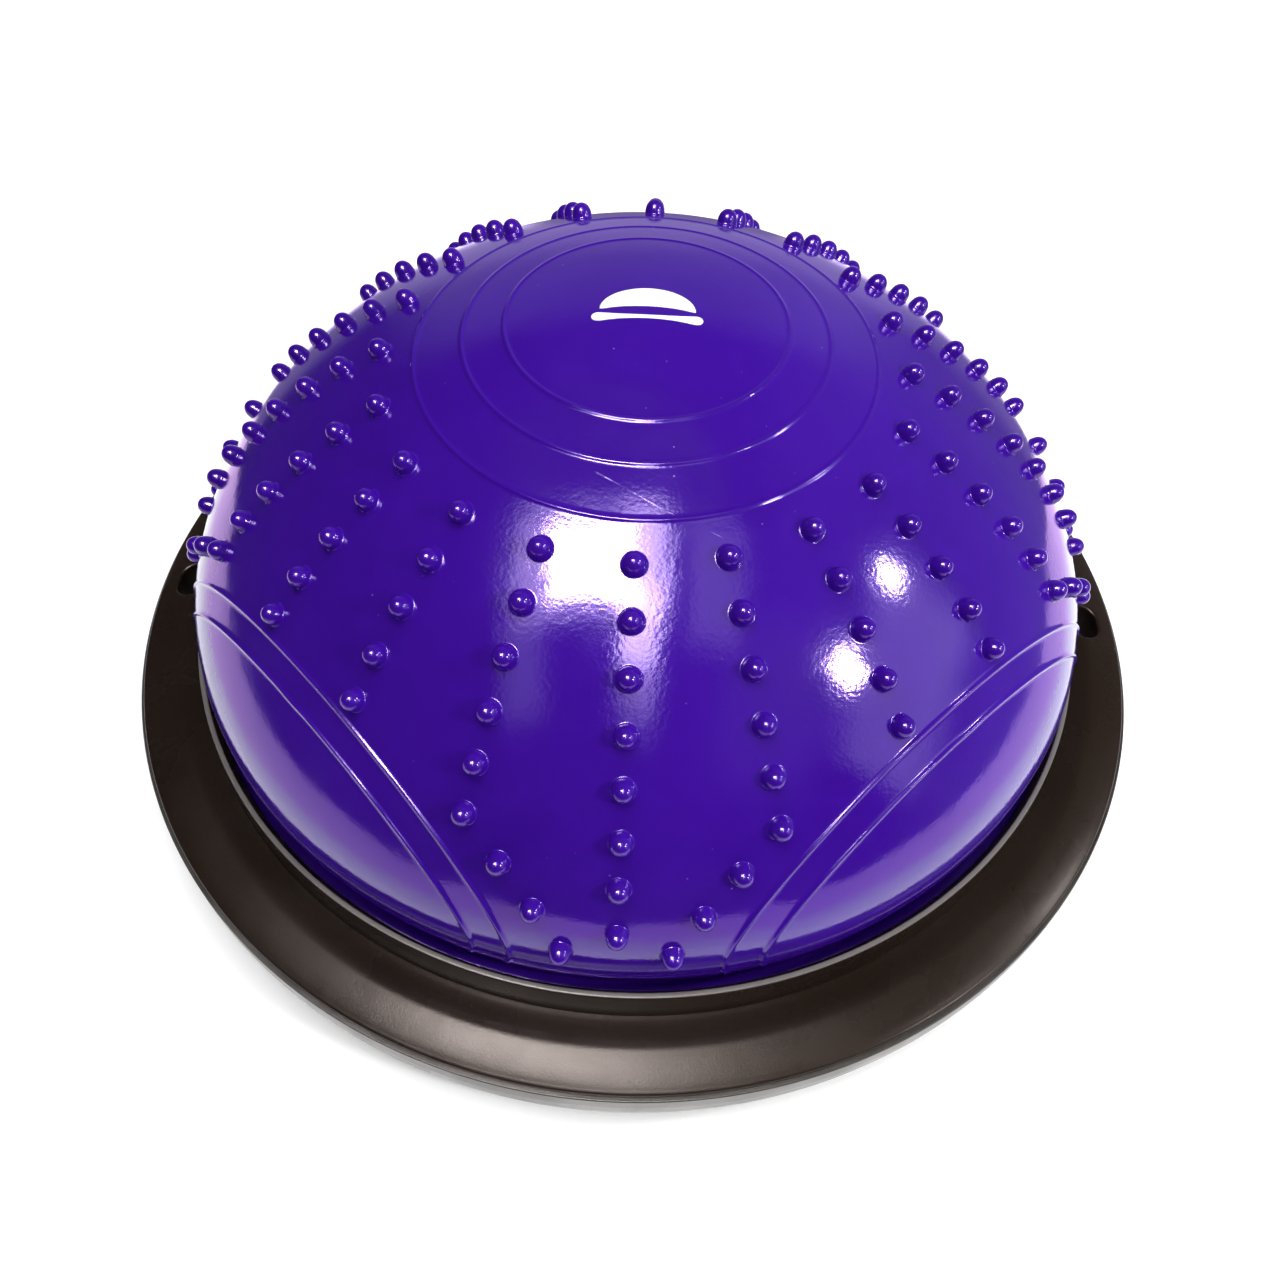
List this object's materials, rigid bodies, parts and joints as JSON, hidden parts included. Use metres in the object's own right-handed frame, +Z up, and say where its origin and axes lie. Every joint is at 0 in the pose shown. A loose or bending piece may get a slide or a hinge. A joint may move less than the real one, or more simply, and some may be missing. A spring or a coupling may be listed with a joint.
{
  "type": "balance dome trainer",
  "caption": "Inflatable half-ball balance trainer with massage nubs, its dome clamped in a round black base with slots for bands and rubber feet.",
  "frame": {"origin": "centre of the base at floor level, under the foot pads", "axes": "+Z up through the dome's crown, X through the two band slots"},
  "size_m": [0.58, 0.58, 0.2592],
  "materials": {
    "base_plastic": "satin moulded, black-brown",
    "dome_vinyl": "glossy violet vinyl",
    "valve_vinyl": "soft off-white vinyl",
    "foot_rubber": "matt black",
    "screw_steel": "zinc plated"
  },
  "bodies": {
    "base": {"top_ring": "base_plastic", "bottom_pan": "base_plastic", "valve_insert": "valve_vinyl", "foot_pad_1": "foot_rubber", "foot_pad_2": "foot_rubber", "foot_pad_3": "foot_rubber", "foot_pad_4": "foot_rubber", "foot_pad_5": "foot_rubber", "foot_pad_6": "foot_rubber", "foot_pad_7": "foot_rubber", "foot_pad_8": "foot_rubber", "base_screw_1": "screw_steel", "base_screw_2": "screw_steel", "base_screw_3": "screw_steel", "base_screw_4": "screw_steel", "base_screw_5": "screw_steel", "base_screw_6": "screw_steel", "base_screw_7": "screw_steel", "base_screw_8": "screw_steel", "base_screw_9": "screw_steel", "base_screw_10": "screw_steel", "base_screw_11": "screw_steel", "base_screw_12": "screw_steel"},
    "dome": {"dome_bladder": "dome_vinyl"},
    "valve_plug": {"valve_plug": "valve_vinyl"}
  },
  "joints": [
    {"name": "dome_press", "type": "slide", "parent": "base", "child": "dome", "axis": [0, 0, -1], "range_m": [0, 0.06], "stiffness_N_per_m": 14000, "springref_m": -0.002, "deforming": ["dome_bladder"]},
    {"name": "valve_plug_pull", "type": "slide", "parent": "base", "child": "valve_plug", "axis": [0, 0, -1], "range_m": [0, 0.014]}
  ]
}
